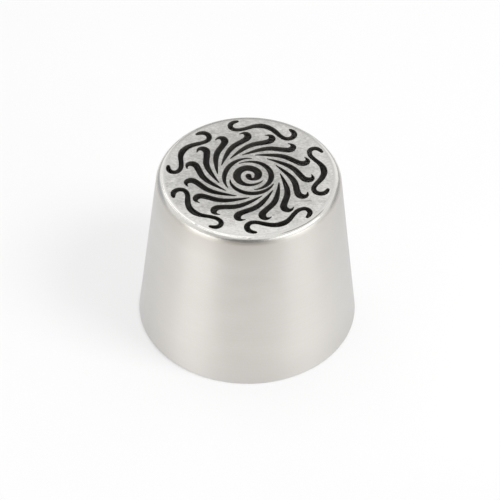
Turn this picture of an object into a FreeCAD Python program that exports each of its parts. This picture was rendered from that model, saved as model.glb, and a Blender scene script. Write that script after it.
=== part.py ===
"""Flower piping nozzle: a steel cone whose narrow mouth is closed by a slotted pattern plate.

The plate is let into the cone, and a corner weld, dressed to a round shoulder, joins the two.
Millimetres. The nozzle stands on its wide mouth: the axis is Z, the origin is the centre of
that mouth, and the pattern plate is at the top.
"""
import FreeCAD
import Part
import math
import os

# Cone shell: outside sizes, with the top measured where cone and top plane would meet sharply
base_radius = 25.0
top_radius = 20.5
height = 41.0
wall = 0.9
mouth_chamfer = 0.2

# Corner weld, dressed to a round from the flat top to the cone
shoulder_radius = 2.0
weld_root_face = 0.2

# Pattern plate, let into the narrow mouth
plate_thickness = 1.0
plate_clearance = 0.05
pattern_land = 0.2

# Slots cut through the plate, at their widest, and the square tip that their points end in
flame_count = 15
flame_width = 1.6
scroll_count = 5
scroll_width = 1.42
crescent_width = 1.15
spiral_width = 1.72
tip_width = 0.12

# A stretch of a slot's outline up to the first length is made of straight cuts, and a longer one is an
# arc. The smooth curve bows out from each straight cut by no more than the second length.
straight_cut = 3.2
cut_bow = 0.03

# How far a slot's cutting solid runs past the plate's two faces
overrun = 1.0

# A slot's spine runs through points (across, away, width). Across and away are shares of the
# pattern's radius. Width goes from 0, the tip width, to 1, the full width of that kind of slot.
flame_shares = (
    (0.070, 0.374, 0.00),
    (0.300, 0.401, 0.62),
    (0.460, 0.373, 0.81),
    (0.565, 0.310, 0.85),
    (0.615, 0.282, 0.91),
    (0.648, 0.276, 0.99),
    (0.671, 0.285, 0.90),
    (0.683, 0.300, 0.56),
    (0.682, 0.320, 0.23),
    (0.666, 0.344, 0.00),
)
scroll_shares = (
    (-0.142, 0.960, 0.40),
    (-0.186, 0.931, 0.69),
    (-0.207, 0.902, 0.77),
    (-0.203, 0.869, 0.74),
    (-0.172, 0.849, 0.70),
    (-0.110, 0.851, 0.69),
    (0.000, 0.898, 0.71),
    (0.130, 0.937, 1.00),
    (0.260, 0.894, 0.92),
    (0.360, 0.788, 0.79),
    (0.420, 0.715, 0.72),
    (0.464, 0.699, 0.76),
    (0.500, 0.718, 0.83),
    (0.513, 0.758, 0.84),
    (0.503, 0.791, 0.72),
    (0.479, 0.829, 0.40),
)
left_crescent_shares = (
    (0.030, 0.306, 0.00),
    (-0.070, 0.288, 0.36),
    (-0.152, 0.230, 0.74),
    (-0.220, 0.139, 0.94),
    (-0.262, 0.030, 0.88),
    (-0.275, -0.090, 0.55),
    (-0.248, -0.205, 0.00),
)
right_crescent_shares = (
    (0.065, -0.232, 0.00),
    (0.170, -0.170, 0.60),
    (0.234, -0.040, 1.00),
    (0.214, 0.100, 1.00),
    (0.120, 0.207, 0.76),
    (0.000, 0.239, 0.34),
    (-0.120, 0.216, 0.00),
)
lower_crescent_shares = (
    (-0.222, -0.072, 0.00),
    (-0.187, -0.158, 0.46),
    (-0.110, -0.230, 0.80),
    (0.000, -0.273, 0.92),
    (0.120, -0.264, 0.88),
    (0.220, -0.209, 0.56),
    (0.294, -0.128, 0.00),
)
spiral_shares = (
    (-0.005, 0.000, 0.73),
    (-0.001, -0.020, 0.66),
    (0.012, -0.042, 0.54),
    (0.034, -0.056, 0.44),
    (0.062, -0.054, 0.47),
    (0.087, -0.040, 0.68),
    (0.105, -0.013, 0.86),
    (0.114, 0.030, 0.94),
    (0.098, 0.080, 0.99),
    (0.050, 0.122, 1.00),
    (-0.020, 0.140, 1.00),
    (-0.090, 0.113, 1.00),
    (-0.138, 0.045, 0.98),
    (-0.140, -0.040, 0.93),
    (-0.090, -0.121, 0.68),
    (0.010, -0.158, 0.40),
    (0.095, -0.137, 0.24),
    (0.168, -0.080, 0.00),
)

# Where the spine lies in the slot's width: 0 is the left edge, which is the inside of its hooks
edge_spine_share = 0.0
middle_spine_share = 0.5

# Worked out from the sizes above
up = FreeCAD.Vector(0, 0, 1)
origin = FreeCAD.Vector(0, 0, 0)
taper = math.atan((base_radius - top_radius) / height)
wall_across = wall / math.cos(taper)
plate_underside = height - plate_thickness
weld_root = plate_underside + weld_root_face
shoulder_turn = math.pi / 2 - taper
flat_radius = top_radius - shoulder_radius * math.tan(shoulder_turn / 2)
pattern_radius = flat_radius - pattern_land


def section_point(radius, level):
    """Point of a section through the axis."""
    return FreeCAD.Vector(radius, 0, level)


def outer_radius(level):
    """Radius of the cone's outside at a height above the wide mouth."""
    return base_radius - level * math.tan(taper)


def inner_radius(level):
    """Radius of the cone's inside at a height above the wide mouth."""
    return outer_radius(level) - wall_across


def shoulder_point(turn):
    """Point of the round shoulder, turned from straight up towards the cone."""
    return section_point(flat_radius + shoulder_radius * math.sin(turn),
                         height - shoulder_radius * (1 - math.cos(turn)))


def turned_solid(edges):
    """Solid of revolution about the axis from the edges of a closed section."""
    return Part.Face(Part.Wire(edges)).revolve(origin, up, 360)


def straight_edges(points):
    """Straight edges from each point to the next."""
    return [Part.LineSegment(*pair).toShape() for pair in zip(points, points[1:])]


def weld_seats():
    """The four corners of the weld's seat: flat top, plate edge, cone inside and cone outside."""
    return [
        shoulder_point(0),
        section_point(inner_radius(weld_root) - plate_clearance, weld_root),
        section_point(inner_radius(weld_root), weld_root),
        shoulder_point(shoulder_turn),
    ]


def cone_shell():
    """Open cone with an even wall, chamfered at its wide mouth and bevelled for the weld at the other."""
    inside_top, outside_top = weld_seats()[2:]
    section = [
        section_point(outer_radius(mouth_chamfer), mouth_chamfer),
        outside_top,
        inside_top,
        section_point(inner_radius(mouth_chamfer), mouth_chamfer),
        section_point(inner_radius(0) + mouth_chamfer, 0),
        section_point(base_radius - mouth_chamfer, 0),
    ]
    return turned_solid(straight_edges(section + section[:1]))


def weld_bead():
    """Ring of weld metal over the corner of plate and cone, dressed to the round shoulder."""
    seats = weld_seats()
    crown = Part.Arc(seats[-1], shoulder_point(shoulder_turn / 2), seats[0]).toShape()
    return turned_solid(straight_edges(seats) + [crown])


def plate_blank():
    """Disc that fills the narrow mouth, its edge tapered to the cone and bevelled for the weld."""
    flat_edge, weld_edge = weld_seats()[:2]
    section = [
        section_point(0, plate_underside),
        section_point(inner_radius(plate_underside) - plate_clearance, plate_underside),
        weld_edge,
        flat_edge,
        section_point(0, height),
    ]
    return turned_solid(straight_edges(section + section[:1]))


def slot_spine(shares, slot_width):
    """Smooth curve through a slot's points; its third coordinate is the slot's width there."""
    points = []
    for across, away, width_share in shares:
        width = tip_width + width_share * (slot_width - tip_width)
        points.append(FreeCAD.Vector(across * pattern_radius, away * pattern_radius, width))
    spine = Part.BSplineCurve()
    spine.interpolate(points)
    return spine


def slot_stations(spine, spine_share):
    """Left edge, right edge, heading and widening at each point of the spine and halfway between."""
    knots = spine.getKnots()
    halfway = [(knot + following) / 2 for knot, following in zip(knots, knots[1:])]
    stations = []
    for parameter in sorted(knots + halfway):
        place, rate = spine.getD1(parameter)
        heading = FreeCAD.Vector(rate.x, rate.y, 0).normalize()
        leftward = up.cross(heading)
        middle = FreeCAD.Vector(place.x, place.y, 0)
        left = middle + leftward * place.z * spine_share
        right = middle - leftward * place.z * (1 - spine_share)
        widening = math.atan2(rate.z, math.hypot(rate.x, rate.y))
        stations.append((left, right, heading, widening))
    return stations


def outline_edges(points):
    """Edges end to end through the points: arcs, or straight cuts where a stretch is short."""
    edges = []
    for three in zip(points[:-2:2], points[1:-1:2], points[2::2]):
        arc = Part.Arc(*three).toShape()
        if arc.Length > straight_cut:
            edges.append(arc)
        else:
            cuts = math.ceil(arc.Length / math.sqrt(8 * arc.Curve.Radius * cut_bow))
            edges += straight_edges(arc.discretize(cuts + 1))
    return edges


def slot_end(start, end, heading, widening, width_share):
    """End of a slot: square where it is a tip, or else round and smooth with its two edges."""
    if width_share == 0:
        return straight_edges([start, end])
    bulge = math.tan(math.pi / 4 + widening / 4)
    crown = (start + end) / 2 + heading * bulge * (end - start).Length / 2
    return outline_edges([start, crown, end])


def slot(shares, slot_width, spine_share):
    """Cutting solid of one slot, a little taller than the plate is thick."""
    stations = slot_stations(slot_spine(shares, slot_width), spine_share)
    lefts, rights, headings, widenings = zip(*stations)
    edges = outline_edges(lefts)
    edges += slot_end(lefts[-1], rights[-1], headings[-1], widenings[-1], shares[-1][2])
    edges += outline_edges(rights[::-1])
    edges += slot_end(rights[0], lefts[0], -headings[0], -widenings[0], shares[0][2])
    cutter = Part.Face(Part.Wire(edges)).extrude(up * (plate_thickness + 2 * overrun))
    cutter.translate(up * (plate_underside - overrun))
    return cutter


def spaced_round(solid, count):
    """Copies of a solid spaced evenly round the axis."""
    copies = []
    for index in range(count):
        copy = solid.copy()
        copy.rotate(origin, up, 360 * index / count)
        copies.append(copy)
    return copies


def pattern_slots():
    """A spiral, three crescents round it, a wheel of flames and an outer ring of scrolls."""
    slots = [slot(spiral_shares, spiral_width, middle_spine_share)]
    for shares in (left_crescent_shares, right_crescent_shares, lower_crescent_shares):
        slots.append(slot(shares, crescent_width, edge_spine_share))
    slots += spaced_round(slot(flame_shares, flame_width, edge_spine_share), flame_count)
    slots += spaced_round(slot(scroll_shares, scroll_width, edge_spine_share), scroll_count)
    return slots


def pattern_plate():
    """The disc with all its slots cut through."""
    return plate_blank().cut(pattern_slots())


def main():
    os.makedirs("parts", exist_ok=True)
    pieces = {
        "cone_shell": cone_shell(),
        "pattern_plate": pattern_plate(),
        "weld_bead": weld_bead(),
    }
    for name, shape in pieces.items():
        print(name, "solids", len(shape.Solids), "valid", shape.isValid(), "volume", round(shape.Volume, 2))
        shape.exportStep(os.path.join("parts", name + ".step"))


main()
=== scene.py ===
import math

import bpy
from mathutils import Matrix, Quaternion, Vector, noise


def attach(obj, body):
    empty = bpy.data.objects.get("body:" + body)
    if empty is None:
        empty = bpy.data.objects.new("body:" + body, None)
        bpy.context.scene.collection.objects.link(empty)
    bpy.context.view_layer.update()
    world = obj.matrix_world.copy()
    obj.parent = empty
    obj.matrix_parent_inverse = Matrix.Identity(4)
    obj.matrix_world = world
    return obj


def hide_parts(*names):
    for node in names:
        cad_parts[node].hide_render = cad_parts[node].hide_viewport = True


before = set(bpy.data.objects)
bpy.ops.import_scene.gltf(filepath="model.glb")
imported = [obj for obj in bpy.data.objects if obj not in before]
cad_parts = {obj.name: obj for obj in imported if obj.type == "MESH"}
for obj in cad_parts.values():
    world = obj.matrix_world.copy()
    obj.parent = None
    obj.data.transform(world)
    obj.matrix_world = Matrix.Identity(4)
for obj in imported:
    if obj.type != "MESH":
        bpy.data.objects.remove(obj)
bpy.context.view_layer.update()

# Flower piping nozzle: finer pieces with finishes for its three solids, on a pale floor in soft light.
# Metres, in the solids' own frame: the nozzle stands on its wide mouth round the Z axis, its front to -Y.
to_right = (1.0, 0.0, 0.0)
to_back = (0.0, 1.0, 0.0)
to_front = (0.0, -1.0, 0.0)
to_top = (0.0, 0.0, 1.0)
across_axis = (1.0, 1.0, 0.0)

# Sizes that the solids have too
base_radius = 0.025
top_radius = 0.0205
height = 0.041
wall = 0.0009
mouth_chamfer = 0.0002
shoulder_radius = 0.002
plate_thickness = 0.001
plate_clearance = 0.00005
weld_root_face = 0.0002
pattern_land = 0.0002

# Worked out from them
taper = math.atan((base_radius - top_radius) / height)
shoulder_turn = math.pi / 2 - taper
flat_radius = top_radius - shoulder_radius * math.tan(shoulder_turn / 2)
plate_underside = height - plate_thickness
weld_root = plate_underside + weld_root_face
slot_limit = flat_radius - pattern_land / 2

# How finely round pieces are divided, and the turn from which an edge stays sharp
columns = 480
weld_rows = 44
mouth_rows = 5
sharp_turn = math.radians(32)

# A place is on a level within the tolerance, and the doubles of a corner agree to a tenth of it
level_tolerance = 1e-6
corner_fineness = 10

# Deburred slot edges: their width, and the least cosine, which limits how far a sharp corner is drawn back
deburr = 0.000065
deburr_cosine = 0.5

# Fine seam round the weld, which wanders and is deeper in some places than in others
seam_turn = math.radians(22)
seam_depth = 0.000025
seam_half_width = 0.00007
seam_wander = 0.00005
seam_middle_share = 0.55
seam_swing_share = 0.45

# Slight ripple all over the weld
weld_ripple = 0.000006

# The weld's noise: its steps in a radius round the axis, how much finer the seam's depth and the ripple are,
# where the depth's noise starts, and the ripple's steps in a radian down the shoulder
weld_noise_steps = 14
depth_fineness = 2.3
ripple_fineness = 3.1
depth_start = Vector((5, 0, 0))
ripple_steps = 4

# Small lumps on the weld: degrees round from the front, to the right, and degrees down the shoulder. Angles
# round the axis start at the right.
weld_lumps = ((-38, 22), (-36, 16), (1, 26), (5, 16), (8, 21), (12, 17))
right_azimuth = 90
lump_height = 0.00006
lump_length = 0.0003
lump_width = 0.00011

# Noise patterns: features in a metre along each axis, number of finer levels, and weight of each finer level
cone_lines = ((70, 70, 9000), 5.0, 0.6)
cone_bands = ((60, 60, 260), 3.0, 0.55)
cone_clouds = ((45, 45, 45), 2.0, 0.55)
plate_grain = ((1600, 2800, 1600), 5.0, 0.65)
plate_clouds = ((420, 560, 420), 3.0, 0.55)
edge_grain = ((3000, 3000, 3000), 3.0, 0.55)
cut_lines = ((7000, 7000, 300), 3.0, 0.55)
inside_lines = ((60, 60, 5000), 4.0, 0.55)
inside_clouds = ((90, 90, 90), 3.0, 0.55)
weld_lines = ((90, 90, 6000), 4.0, 0.55)
weld_grain = ((1500, 1500, 1500), 3.0, 0.55)
floor_clouds = ((9, 9, 9), 2.0, 0.55)
noise_span = (0.3, 0.7)

# What a value grows or fades to over a span, and whole amounts of metal and cover
growing = (0.0, 1.0)
fading = (1.0, 0.0)
full_metal = 1.0
opaque = 1.0

# Finishes have colours from tone 0 to tone 1, tones, roughness and shares for the two ends of a span, spans
# in levels or reaches, and relief as its strength and depth.

# Cone outside, brushed round the axis
cone_colours = ((0.752, 0.726, 0.686), (0.822, 0.795, 0.755))
cone_tones = (0.0, 0.5)
cone_grazing_colour = (0.80, 0.83, 0.87)
cone_line_roughness = (0.38, 0.46)
cone_band_roughness = (-0.02, 0.03)
cone_relief = (0.12, 0.000012)
brushed_anisotropy = 0.8
brushed_rotation = 0.25

# Painted shade: the cone's colour darker towards the mouth
mouth_shade_levels = (0.001, 0.008)
mouth_shade_shares = (0.35, 0.0)
mouth_shade_colour = (0.70, 0.68, 0.65)

# Faint darker, warmer tone close to the weld, strongest to the front left
tint_levels = (0.0335, 0.0395)
tint_heading = (-0.5, -0.866, 0.0)
tint_reaches = (0.012, 0.020)
tint_shares = (0.1, 0.6)
tint_colour = (0.67, 0.637, 0.577)

# Plate top, with painted light making it brighter towards its rim, its front and its right
plate_colours = ((0.436, 0.43, 0.412), (0.895, 0.885, 0.855))
plate_grain_tones = (-0.18, 0.61)
plate_cloud_tones = (-0.07, 0.22)
plate_rim_light_tones = (0.0, 0.25)
plate_rim_light_reaches = (0.011, 0.0175)
plate_front_light_heading = (-0.12, -0.993, 0.0)
plate_front_light_tones = (0.0, 0.36)
plate_front_light_reaches = (0.0115, 0.017)
plate_right_light_tones = (0.0, 0.18)
plate_right_light_reaches = (0.002, 0.017)
plate_grain_roughness = (0.34, 0.46)
plate_cloud_roughness = (-0.03, 0.03)
plate_relief = (0.25, 0.000012)

# One fine scratch on the plate, fainter to the left: its line, its middle, and where it is full and gone
scratch_heading = (-0.06, 1.0, 0.0)
scratch_line = -0.00853
scratch_middle = 0.01195
scratch_half_widths = (0.00006, 0.00014)
scratch_half_lengths = (0.0018, 0.0021)
scratch_right_reaches = (0.0115, 0.0130)
scratch_right_shares = (0.5, 1.0)
scratch_colour = (0.22, 0.215, 0.205)

# Slot edges, burnt by the cut
edge_colours = ((0.06, 0.057, 0.053), (0.14, 0.135, 0.125))
edge_roughness = (0.42, 0.56)

# Slot walls, with painted light and shade making them paler towards the back and darker to the front
cut_colours = ((0.022, 0.0205, 0.0185), (0.125, 0.118, 0.106))
cut_line_tones = (0.0, 0.4)
cut_back_light_tones = (0.0, 0.6)
cut_back_light_reaches = (-0.017, 0.015)
cut_roughness = (0.5, 0.7)
cut_relief = (0.3, 0.00001)
cut_metal = 0.4

# Inside of the cone and underside of the plate
inside_colours = ((0.46, 0.448, 0.43), (0.60, 0.588, 0.57))
inside_tones = (0.0, 0.5)
inside_roughness = (0.38, 0.5)
inside_relief = (0.15, 0.00001)

# Weld, whose finish changes at turns down the shoulder, in degrees
polish_turns = (11, 19)
brushing_turns = (38, 60)
satin_colour = (0.72, 0.712, 0.69)
satin_roughness = 0.40
polished_colours = ((0.78, 0.768, 0.73), (0.885, 0.873, 0.835))
polished_line_tones = (0.0, 0.6)
polished_grain_tones = (0.0, 0.4)
polished_line_roughness = (0.10, 0.15)
polished_grain_roughness = (-0.01, 0.03)
brushed_colour = (0.787, 0.76, 0.72)
brushed_roughness = 0.42
weld_relief = (0.1, 0.00001)

# Painted shade: a dark line in the seam, on the front right alone
seam_shade_heights = (0.000018, 0.000055)
seam_shade_shares = (0.72, 0.0)
seam_shade_heading = (0.643, -0.766, 0.0)
seam_shade_reaches = (0.0183, 0.0188)
seam_shade_colour = (0.16, 0.155, 0.145)

# Floor, with painted shade dimming it far from the nozzle. What the camera and metal see of it is whiter
# than what is lit, by shares that grow outside the nozzle's foot and again towards the front.
floor_radius = 4.0
floor_sides = 64
floor_colour = (0.785, 0.785, 0.785)
floor_white = (1.0, 1.0, 1.0)
floor_far_shade_colour = (0.42, 0.42, 0.425)
floor_shade_reaches = (0.13, 0.28)
floor_shade_shares = (0.0, 0.9)
floor_cloud_shares = (0.0, 0.03)
floor_roughness = 0.9
floor_gloss = 0.1
foot_white_reaches = (0.0240, 0.0256)
foot_white_shares = (0.0, 0.66)
front_white_reaches = (0.034, 0.062)
front_white_shares = (0.0, 0.34)

# Soft lamps: place, height on the axis that each is aimed at, width, length, power in watts, and whether
# bright metal mirrors it
lamps = {
    "overhead": ((-0.21, 0.29, 0.69), 0.02, 0.25, 0.63, 0.34, True),
    "key": ((0.455, -0.18, 0.66), 0.0, 0.28, 0.28, 3.6, False),
    "right_high": ((0.445, -0.245, 0.56), 0.02, 0.80, 0.28, 0.40, True),
    "right_side": ((0.675, -0.425, 0.13), 0.02, 0.50, 0.36, 0.72, True),
    "left_side": ((-0.60, -0.49, 0.20), 0.02, 0.5, 0.3, 1.0, True),
}

# Brightness of the room by the height looked at, from the horizon at 0 to straight up at 1
sky_levels = ((0.02, 0.64), (0.12, 0.74), (0.30, 0.82), (0.90, 0.86))

# Darker and brighter parts of the room: direction, closeness to it where each begins and is full, and colour
room_parts = (
    ((0.0, -0.98, 0.20), (0.80, 0.97), (0.53, 0.47, 0.385)),
    ((0.0, -0.80, 0.60), (0.80, 0.96), (0.21, 0.21, 0.21)),
    ((-0.386, -0.349, 0.853), (0.955, 0.99), (0.62, 0.62, 0.62)),
    ((-0.82, 0.56, 0.10), (0.90, 0.98), (0.44, 0.46, 0.49)),
    ((0.82, 0.56, 0.10), (0.89, 0.97), (0.42, 0.42, 0.42)),
    ((0.05, 0.66, 0.75), (0.90, 0.99), (0.99, 0.99, 0.99)),
    ((0.45, 0.84, 0.32), (0.94, 0.985), (0.98, 0.98, 0.98)),
    ((-0.42, 0.86, 0.34), (0.94, 0.985), (0.95, 0.95, 0.95)),
    ((-0.04, 0.927, 0.374), (0.94, 0.985), (0.26, 0.26, 0.26)),
)

# Camera, fitted to the outlines in the photograph
camera_target = (0.00048, 0.0, 0.01792)
camera_distance = 0.6405
camera_elevation = math.radians(44.598)
camera_roll = math.radians(0.84)
camera_lens = 202.5
camera_nearest = 0.01
sensor_width = 36.0


def outer_radius(level):
    """Radius of the cone's outside at a height above the wide mouth."""
    return base_radius - level * math.tan(taper)


def inner_radius(level):
    """Radius of the cone's inside at a height above the wide mouth."""
    return outer_radius(level) - wall / math.cos(taper)


def shoulder_place(turn):
    """Radius and level of the round shoulder, turned from straight up towards the cone."""
    radius = flat_radius + shoulder_radius * math.sin(turn)
    return radius, height - shoulder_radius * (1 - math.cos(turn))


def new_piece(name, vertices, faces, paints, materials):
    """An object from its faces and the number of each one's material, smooth but for its sharp edges."""
    mesh = bpy.data.meshes.new(name)
    mesh.from_pydata(vertices, [], faces)
    for face, paint in zip(mesh.polygons, paints):
        face.material_index = paint
        face.use_smooth = True
    mesh.validate()
    mesh.set_sharp_from_angle(angle=sharp_turn)
    for material in materials:
        mesh.materials.append(material)
    piece = bpy.data.objects.new(name, mesh)
    bpy.context.collection.objects.link(piece)
    return piece


def lathe(name, rings, ring_paints, materials):
    """Closed piece from rings that give radius and level at an angle, and the paint below each ring."""
    vertices = []
    for ring in rings:
        for column in range(columns):
            angle = 2 * math.pi * column / columns
            radius, level = ring(angle)
            vertices.append((radius * math.cos(angle), radius * math.sin(angle), level))
    faces = []
    paints = []
    for row, paint in enumerate(ring_paints):
        below = (row + 1) % len(rings)
        for column in range(columns):
            beside = (column + 1) % columns
            faces.append((row * columns + column, below * columns + column,
                          below * columns + beside, row * columns + beside))
            paints.append(paint)
    return new_piece(name, vertices, faces, paints, materials)


def fixed_ring(radius, level):
    """A ring whose radius and level are the same all round."""
    return lambda angle: (radius, level)


def mouth_rings(centre_radius, outward):
    """Rings of the rounded edge of the wide mouth, from the wall down to the flat rim."""
    rings = []
    for row in range(mouth_rows + 1):
        turn = math.pi / 2 * row / mouth_rows
        radius = centre_radius + outward * mouth_chamfer * math.cos(turn)
        rings.append(fixed_ring(radius, mouth_chamfer * (1 - math.sin(turn))))
    return rings


def cone_piece(materials):
    """The open cone: brushed outside, rounded mouth edge and plainer inside."""
    outside_paint, inside_paint = range(len(materials))
    outside = [fixed_ring(*shoulder_place(shoulder_turn))]
    outside += mouth_rings(outer_radius(mouth_chamfer) - mouth_chamfer, 1)
    inside = mouth_rings(inner_radius(mouth_chamfer) + mouth_chamfer, -1)[::-1]
    inside.append(fixed_ring(inner_radius(weld_root), weld_root))
    paints = [outside_paint] * len(outside) + [inside_paint] * len(inside)
    return lathe("cone_body", outside + inside, paints, materials)


def seam_at(turn, across):
    """Depth of the weld's seam at a turn down the shoulder and a place in its noise."""
    offset = (turn - seam_turn) * shoulder_radius - seam_wander * noise.noise(across)
    swing = seam_swing_share * noise.noise(across * depth_fineness + depth_start)
    return (seam_middle_share + swing) * seam_depth * math.exp(-(offset / seam_half_width) ** 2)


def lumps_at(turn, angle):
    """Height of the weld's small lumps at a turn down the shoulder and an angle round the axis."""
    raised = 0.0
    for azimuth, lump_turn in weld_lumps:
        lump_angle = math.radians(azimuth - right_azimuth)
        around = math.remainder(angle - lump_angle, 2 * math.pi) * top_radius / lump_length
        down = (turn - math.radians(lump_turn)) * shoulder_radius / lump_width
        raised += lump_height * math.exp(-around ** 2 - down ** 2)
    return raised


def weld_ring(turn):
    """Ring of the dressed weld, with its fine wandering seam, slight ripple and small lumps."""
    def place(angle):
        across = Vector((math.cos(angle), math.sin(angle), 0)) * weld_noise_steps
        ripple = weld_ripple * noise.noise(across * ripple_fineness + Vector((0, 0, turn * ripple_steps)))
        sunk = seam_at(turn, across) + weld_ripple + ripple - lumps_at(turn, angle)
        radius, level = shoulder_place(turn)
        return radius - sunk * math.sin(turn), level - sunk * math.cos(turn)
    return place


def weld_piece(materials):
    """The corner weld, dressed round from the plate to the cone."""
    rings = [weld_ring(shoulder_turn * row / weld_rows) for row in range(weld_rows + 1)]
    rings[0] = fixed_ring(*shoulder_place(0))
    rings[-1] = fixed_ring(*shoulder_place(shoulder_turn))
    rings.append(fixed_ring(inner_radius(weld_root), weld_root))
    rings.append(fixed_ring(inner_radius(weld_root) - plate_clearance, weld_root))
    return lathe("weld_ring", rings, [0] * len(rings), materials)


def corner_key(place):
    """A place in whole steps, which are the same for all doubles of a corner."""
    return tuple(round(value / level_tolerance * corner_fineness) for value in place)


def welded_corners(mesh):
    """A mesh's corner places with doubles made one, and its faces by their numbers."""
    numbers = {}
    places = []
    index = []
    for vertex in mesh.vertices:
        key = corner_key(vertex.co)
        if key not in numbers:
            numbers[key] = len(places)
            places.append(vertex.co.copy())
        index.append(numbers[key])
    faces = [[index[corner] for corner in face.vertices] for face in mesh.polygons]
    return places, [face for face in faces if len(set(face)) == len(face)]


def rim_edges(faces):
    """Edges that only one of the faces has, in that face's direction."""
    directed = set()
    for face in faces:
        for corner, following in zip(face, face[1:] + face[:1]):
            directed.add((corner, following))
    return [edge for edge in directed if edge[::-1] not in directed]


def is_flat(face, places, level):
    """Whether all corners of a face are on a level."""
    return all(abs(places[corner].z - level) < level_tolerance for corner in face)


def in_pattern(place):
    """Whether a place is as close to the axis as the slots are."""
    return place.xy.length < slot_limit


def deburred_places(places, edges, rise):
    """For each slot corner on a flat side: its place moved back on that side, and its place in the wall."""
    backs = {}
    for start, end in edges:
        along = places[end] - places[start]
        back = Vector((-along.y, along.x, 0)).normalized()
        for corner in (start, end):
            backs.setdefault(corner, []).append(back if rise > 0 else -back)
    moved = {}
    for corner, sides in backs.items():
        middle = sum(sides, Vector()).normalized()
        reach = deburr / max(deburr_cosine, middle.dot(sides[0]))
        moved[corner] = (places[corner] + middle * reach, places[corner] - Vector((0, 0, rise * deburr)))
    return moved


def deburred_side(places, flat, rise, vertices):
    """A flat side's faces and deburred slot edges, and its slot walls' new corners; adds to the vertices."""
    edges = [edge for edge in rim_edges(flat) if in_pattern(places[edge[0]])]
    flat_number = {}
    wall_number = {}
    for corner, (flat_place, wall_place) in deburred_places(places, edges, rise).items():
        flat_number[corner] = len(vertices)
        wall_number[corner] = len(vertices) + 1
        vertices += [tuple(flat_place), tuple(wall_place)]
    side = [[flat_number.get(corner, corner) for corner in face] for face in flat]
    facets = []
    for start, end in edges:
        facets.append([flat_number[end], flat_number[start], wall_number[start], wall_number[end]])
    return side, facets, wall_number


def plate_piece(materials):
    """The pattern plate from its solid's outlines, with a fine deburred edge along every slot."""
    top_paint, edge_paint, wall_paint, dull_paint = range(len(materials))
    places, faces = welded_corners(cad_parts["pattern_plate"].data)
    vertices = [tuple(place) for place in places]
    built = []
    paints = []
    wall_corners = {}
    walls = faces
    for level, rise, paint in ((height, 1, top_paint), (plate_underside, -1, dull_paint)):
        flat = [face for face in faces if is_flat(face, places, level)]
        walls = [face for face in walls if face not in flat]
        side, facets, wall_number = deburred_side(places, flat, rise, vertices)
        built += side + facets
        paints += [paint] * len(side) + [edge_paint] * len(facets)
        wall_corners.update(wall_number)
    for face in walls:
        built.append([wall_corners.get(corner, corner) for corner in face])
        paints.append(wall_paint if all(in_pattern(places[corner]) for corner in face) else dull_paint)
    return new_piece("plate_disc", vertices, built, paints, materials)


def socket_called(sockets, identifier):
    """The socket with an identifier, which is its own where several share a name."""
    return next(socket for socket in sockets if socket.identifier == identifier)


class Nodes:
    """A node tree under construction, and the place or direction that it follows."""

    def __init__(self, tree, coordinate):
        self.tree = tree
        self.place = self.add("ShaderNodeTexCoord").outputs[coordinate]

    def feed(self, socket, value):
        """Gives a socket a node's output, or a colour, direction or number of its own."""
        if isinstance(value, bpy.types.NodeSocket):
            self.tree.links.new(value, socket)
        elif socket.type == "RGBA":
            socket.default_value = (*value, opaque)
        else:
            socket.default_value = value

    def feed_named(self, node, feeds):
        """Feeds a node's inputs by their names."""
        for name, value in feeds.items():
            self.feed(node.inputs[name], value)

    def add(self, kind, *feeds, **settings):
        """New node with its settings, and with feeds for its first inputs in their order."""
        node = self.tree.nodes.new(kind)
        for name, setting in settings.items():
            setattr(node, name, setting)
        for socket, value in zip(node.inputs, feeds):
            self.feed(socket, value)
        return node

    def combined(self, operation, first, *others):
        """The values taken together in turn by an operation, such as ADD."""
        for other in others:
            first = self.add("ShaderNodeMath", first, other, operation=operation).outputs["Value"]
        return first

    def distance(self, value, middle):
        """How far a value lies from a middle one, to either side."""
        difference = self.combined("SUBTRACT", value, middle)
        return self.add("ShaderNodeMath", difference, operation="ABSOLUTE").outputs["Value"]

    def ranged(self, value, results, span=noise_span, interpolation="LINEAR"):
        """The value mapped from the two ends of a span to two results."""
        node = self.add("ShaderNodeMapRange", value, *span, *results, interpolation_type=interpolation)
        return node.outputs["Result"]

    def mixed(self, data_type, ending, factor, first, second):
        """Mix of two colours or numbers by a factor; the ending is that of their sockets' identifiers."""
        node = self.add("ShaderNodeMix", factor, data_type=data_type)
        self.feed(socket_called(node.inputs, "A_" + ending), first)
        self.feed(socket_called(node.inputs, "B_" + ending), second)
        return socket_called(node.outputs, "Result_" + ending)

    def blended(self, factor, first, second):
        """Colour between two by a factor."""
        return self.mixed("RGBA", "Color", factor, first, second)

    def between(self, factor, first, second):
        """Number between two by a factor."""
        return self.mixed("FLOAT", "Float", factor, first, second)

    def towards(self, heading):
        """How far the place or direction reaches along a heading."""
        along = self.add("ShaderNodeVectorMath", self.place, heading, operation="DOT_PRODUCT")
        return along.outputs["Value"]


class Paint(Nodes):
    """A material under construction, whose patterns follow places on the object."""

    def __init__(self, name):
        self.material = bpy.data.materials.new(name)
        self.material.use_nodes = True
        super().__init__(self.material.node_tree, "Object")
        self.shader = self.tree.nodes["Principled BSDF"]

    def away(self):
        """How far the place lies from the axis."""
        across = self.add("ShaderNodeVectorMath", self.place, across_axis, operation="MULTIPLY")
        length = self.add("ShaderNodeVectorMath", across.outputs["Vector"], operation="LENGTH")
        return length.outputs["Value"]

    def noise(self, scales, detail, roughness):
        """Value of a noise pattern."""
        scaled = self.add("ShaderNodeVectorMath", self.place, scales, operation="MULTIPLY")
        texture = self.add("ShaderNodeTexNoise")
        self.feed_named(texture, {
            "Vector": scaled.outputs["Vector"],
            "Scale": 1.0,
            "Detail": detail,
            "Roughness": roughness,
        })
        return texture.outputs["Fac"]

    def relief(self, value, strength, depth):
        """Normals of a surface that a value raises."""
        node = self.add("ShaderNodeBump")
        self.feed_named(node, {"Strength": strength, "Distance": depth, "Height": value})
        return node.outputs["Normal"]

    def metal(self, feeds):
        """The material as a metal, with its shader's other inputs fed by their names."""
        self.feed_named(self.shader, {"Metallic": full_metal, **feeds})
        return self.material


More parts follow.
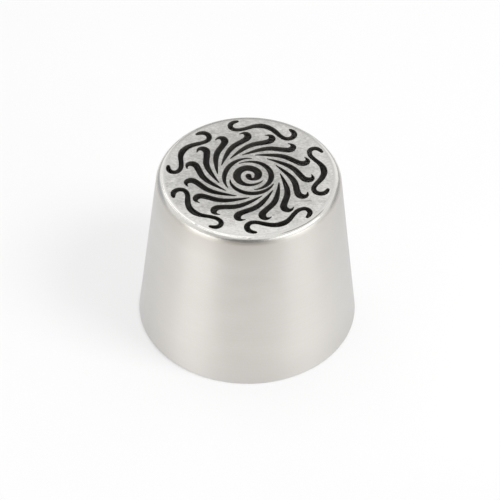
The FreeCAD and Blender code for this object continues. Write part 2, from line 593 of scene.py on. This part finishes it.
def tinted_near_weld(paint, colour):
    """The colour with a faint darker, warmer tone near the weld."""
    close = paint.ranged(paint.towards(to_top), growing, tint_levels)
    side = paint.ranged(paint.towards(tint_heading), tint_shares, tint_reaches)
    return paint.blended(paint.combined("MULTIPLY", close, side), colour, tint_colour)


def brushed_steel():
    """Cone outside: satin steel brushed round the axis, with a faint darker, warmer tone near the weld, and
    painted shade darkening it towards the mouth.
    """
    paint = Paint("brushed_steel")
    lines = paint.noise(*cone_lines)
    bands = paint.noise(*cone_bands)
    clouds = paint.noise(*cone_clouds)
    tone = paint.combined("ADD", paint.ranged(lines, cone_tones), paint.ranged(clouds, cone_tones))
    colour = tinted_near_weld(paint, paint.blended(tone, *cone_colours))
    # Painted shade: darker towards the mouth
    mouth_shade = paint.ranged(paint.towards(to_top), mouth_shade_shares, mouth_shade_levels)
    return paint.metal({
        "Base Color": paint.blended(mouth_shade, colour, mouth_shade_colour),
        "Roughness": paint.combined("ADD", paint.ranged(lines, cone_line_roughness),
                                    paint.ranged(bands, cone_band_roughness)),
        "Anisotropic": brushed_anisotropy,
        "Anisotropic Rotation": brushed_rotation,
        "Specular Tint": cone_grazing_colour,
        "Normal": paint.relief(lines, *cone_relief),
    })


def plate_tone_and_light(paint, grain, clouds):
    """Tone of the plate's top by its grain and clouds, with painted light brighter towards its rim, front
    and right.
    """
    return paint.combined(
        "ADD",
        paint.ranged(grain, plate_grain_tones),
        paint.ranged(clouds, plate_cloud_tones),
        # Painted light: brighter towards the rim, the front and the right
        paint.ranged(paint.away(), plate_rim_light_tones, plate_rim_light_reaches),
        paint.ranged(paint.towards(plate_front_light_heading), plate_front_light_tones, plate_front_light_reaches),
        paint.ranged(paint.towards(to_right), plate_right_light_tones, plate_right_light_reaches),
    )


def scratch_share(paint):
    """How much of the scratch's colour shows at a place on the plate."""
    right = paint.towards(to_right)
    across = paint.distance(paint.towards(scratch_heading), scratch_line)
    along = paint.distance(right, scratch_middle)
    return paint.combined(
        "MULTIPLY",
        paint.ranged(across, fading, scratch_half_widths),
        paint.ranged(along, fading, scratch_half_lengths),
        paint.ranged(right, scratch_right_shares, scratch_right_reaches),
    )


def satin_steel():
    """Plate top: satin sheet with a fine, slightly drawn-out grain, one fine scratch, and painted light
    brighter towards its rim, front and right.
    """
    paint = Paint("satin_steel")
    grain = paint.noise(*plate_grain)
    clouds = paint.noise(*plate_clouds)
    colour = paint.blended(plate_tone_and_light(paint, grain, clouds), *plate_colours)
    return paint.metal({
        "Base Color": paint.blended(scratch_share(paint), colour, scratch_colour),
        "Roughness": paint.combined("ADD", paint.ranged(grain, plate_grain_roughness),
                                    paint.ranged(clouds, plate_cloud_roughness)),
        "Normal": paint.relief(grain, *plate_relief),
    })


def burnt_edge():
    """Deburred slot edges: narrow facets, darkened by the heat of the cut."""
    paint = Paint("burnt_edge")
    grain = paint.noise(*edge_grain)
    return paint.metal({
        "Base Color": paint.blended(paint.ranged(grain, growing), *edge_colours),
        "Roughness": paint.ranged(grain, edge_roughness),
    })


def cut_wall():
    """Slot walls: dark scale from the cut, drawn down through the plate in fine lines, with painted light
    and shade making them paler towards the back.
    """
    paint = Paint("cut_wall")
    lines = paint.noise(*cut_lines)
    # Painted light and shade: walls paler towards the back, darker to the front
    tone = paint.combined("ADD", paint.ranged(lines, cut_line_tones),
                          paint.ranged(paint.towards(to_back), cut_back_light_tones, cut_back_light_reaches))
    return paint.metal({
        "Base Color": paint.blended(tone, *cut_colours),
        "Metallic": cut_metal,
        "Roughness": paint.ranged(lines, cut_roughness),
        "Normal": paint.relief(lines, *cut_relief),
    })


def inside_steel():
    """Inside of the cone and underside of the plate: duller drawn steel."""
    paint = Paint("inside_steel")
    lines = paint.noise(*inside_lines)
    clouds = paint.noise(*inside_clouds)
    tone = paint.combined("ADD", paint.ranged(lines, inside_tones), paint.ranged(clouds, inside_tones))
    return paint.metal({
        "Base Color": paint.blended(tone, *inside_colours),
        "Roughness": paint.ranged(tone, inside_roughness, growing),
        "Normal": paint.relief(lines, *inside_relief),
    })


def shoulder_levels(turns):
    """Levels of the shoulder at turns down it, in degrees."""
    return [shoulder_place(math.radians(turn))[1] for turn in turns]


def seam_shade_share(paint):
    """How much of the painted shade in the seam shows at a place on the weld."""
    seam_level = shoulder_place(seam_turn)[1]
    from_seam = paint.distance(paint.towards(to_top), seam_level)
    return paint.combined(
        "MULTIPLY",
        paint.ranged(from_seam, seam_shade_shares, seam_shade_heights),
        paint.ranged(paint.towards(seam_shade_heading), growing, seam_shade_reaches),
    )


def dressed_weld():
    """Dressed weld: satin beside the plate, polished over the corner, and brushed with the cone below."""
    paint = Paint("dressed_weld")
    lines = paint.noise(*weld_lines)
    grain = paint.noise(*weld_grain)
    level = paint.towards(to_top)
    polished = paint.ranged(level, growing, shoulder_levels(polish_turns))
    brushed = paint.ranged(level, growing, shoulder_levels(brushing_turns))
    tone = paint.combined("ADD", paint.ranged(lines, polished_line_tones),
                          paint.ranged(grain, polished_grain_tones))
    colour = paint.blended(polished, satin_colour, paint.blended(tone, *polished_colours))
    colour = paint.blended(brushed, colour, tinted_near_weld(paint, brushed_colour))
    roughness = paint.combined("ADD", paint.ranged(lines, polished_line_roughness),
                               paint.ranged(grain, polished_grain_roughness))
    roughness = paint.between(polished, satin_roughness, roughness)
    return paint.metal({
        # Painted shade along the seam, on the front right
        "Base Color": paint.blended(seam_shade_share(paint), colour, seam_shade_colour),
        "Roughness": paint.between(brushed, roughness, brushed_roughness),
        "Anisotropic": paint.combined("MULTIPLY", brushed, brushed_anisotropy),
        "Anisotropic Rotation": brushed_rotation,
        "Normal": paint.relief(lines, *weld_relief),
    })


def pale_floor():
    """Plain pale floor, which keeps the nozzle's shadow, looks whiter to the camera and in metal, and has
    painted shade dimming it far from the nozzle.
    """
    paint = Paint("pale_floor")
    away = paint.away()
    # Painted shade: dimmer far from the nozzle
    far_shade = paint.combined("ADD", paint.ranged(away, floor_shade_shares, floor_shade_reaches),
                         paint.ranged(paint.noise(*floor_clouds), floor_cloud_shares))
    paint.feed_named(paint.shader, {
        "Base Color": paint.blended(far_shade, floor_colour, floor_far_shade_colour),
        "Roughness": floor_roughness,
        "Specular IOR Level": floor_gloss,
    })
    ray = paint.add("ShaderNodeLightPath").outputs
    seen = paint.combined("ADD", ray["Is Camera Ray"], ray["Is Glossy Ray"], ray["Is Transmission Ray"])
    seen = paint.combined("MINIMUM", seen, 1.0)
    front = paint.towards(to_front)
    white_share = paint.combined("ADD", paint.ranged(away, foot_white_shares, foot_white_reaches),
                                 paint.ranged(front, front_white_shares, front_white_reaches))
    white = paint.add("ShaderNodeEmission", paint.blended(far_shade, floor_white, floor_far_shade_colour))
    surface = paint.add("ShaderNodeMixShader", paint.combined("MULTIPLY", seen, white_share),
                        paint.shader.outputs["BSDF"], white.outputs["Emission"])
    paint.feed(paint.tree.nodes["Material Output"].inputs["Surface"], surface.outputs["Shader"])
    return paint.material


def floor_disc():
    """Wide round floor under the nozzle."""
    places = []
    for side in range(floor_sides):
        angle = 2 * math.pi * side / floor_sides
        places.append((floor_radius * math.cos(angle), floor_radius * math.sin(angle), 0.0))
    mesh = bpy.data.meshes.new("floor")
    mesh.from_pydata(places, [], [list(range(floor_sides))])
    mesh.materials.append(pale_floor())
    floor = bpy.data.objects.new("floor", mesh)
    bpy.context.collection.objects.link(floor)
    return floor


def soft_light(name, place, aim_level, width, length, power, mirrored):
    """Large soft lamp at a place, turned to a level on the axis, and seen in bright metal if mirrored."""
    lamp = bpy.data.lights.new(name, "AREA")
    lamp.shape = "RECTANGLE"
    lamp.size = width
    lamp.size_y = length
    lamp.energy = power
    holder = bpy.data.objects.new(name, lamp)
    holder.location = place
    aim = Vector((0, 0, aim_level)) - Vector(place)
    holder.rotation_euler = aim.to_track_quat("-Z", "Y").to_euler()
    holder.visible_camera = False
    holder.visible_glossy = mirrored
    bpy.context.collection.objects.link(holder)


def sky_colour(room):
    """Colour of the room by the height looked at."""
    ramp = room.add("ShaderNodeValToRGB", room.towards(to_top))
    stops = ramp.color_ramp.elements
    while len(stops) < len(sky_levels):
        stops.new(1.0)
    for stop, (rise, level) in zip(stops, sky_levels):
        stop.position = rise
        stop.color = (level, level, level, opaque)
    return ramp.outputs["Color"]


def studio_world():
    """Pale room, brighter above, with its darker and brighter parts."""
    world = bpy.data.worlds.new("studio")
    bpy.context.scene.world = world
    world.use_nodes = True
    room = Nodes(world.node_tree, "Generated")
    colour = sky_colour(room)
    for heading, closeness, part_colour in room_parts:
        close = room.towards(Vector(heading).normalized())
        colour = room.blended(room.ranged(close, growing, closeness, "SMOOTHSTEP"), colour, part_colour)
    room.feed(room.tree.nodes["Background"].inputs["Color"], colour)


def photo_camera():
    """Camera at the photograph's viewing angle, with its small roll."""
    data = bpy.data.cameras.new("camera")
    data.lens = camera_lens
    data.sensor_width = sensor_width
    data.clip_start = camera_nearest
    camera = bpy.data.objects.new("camera", data)
    away = Vector((0, -math.cos(camera_elevation), math.sin(camera_elevation)))
    camera.location = Vector(camera_target) + away * camera_distance
    aim = (-away).to_track_quat("-Z", "Y")
    camera.rotation_euler = (aim @ Quaternion(to_top, camera_roll)).to_euler()
    bpy.context.collection.objects.link(camera)
    bpy.context.scene.camera = camera


dull_steel = inside_steel()
cone = cone_piece([brushed_steel(), dull_steel])
plate = plate_piece([satin_steel(), burnt_edge(), cut_wall(), dull_steel])
weld = weld_piece([dressed_weld()])
for piece, node, slot in ((cone, "cone_shell", "cone_steel"), (plate, "pattern_plate", "plate_steel"),
                          (weld, "weld_bead", "weld_steel")):
    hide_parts(node)
    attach(piece, "root")

floor_disc()
for lamp_name, lamp_settings in lamps.items():
    soft_light(lamp_name, *lamp_settings)
studio_world()
photo_camera()
bpy.context.scene.view_settings.view_transform = "Standard"
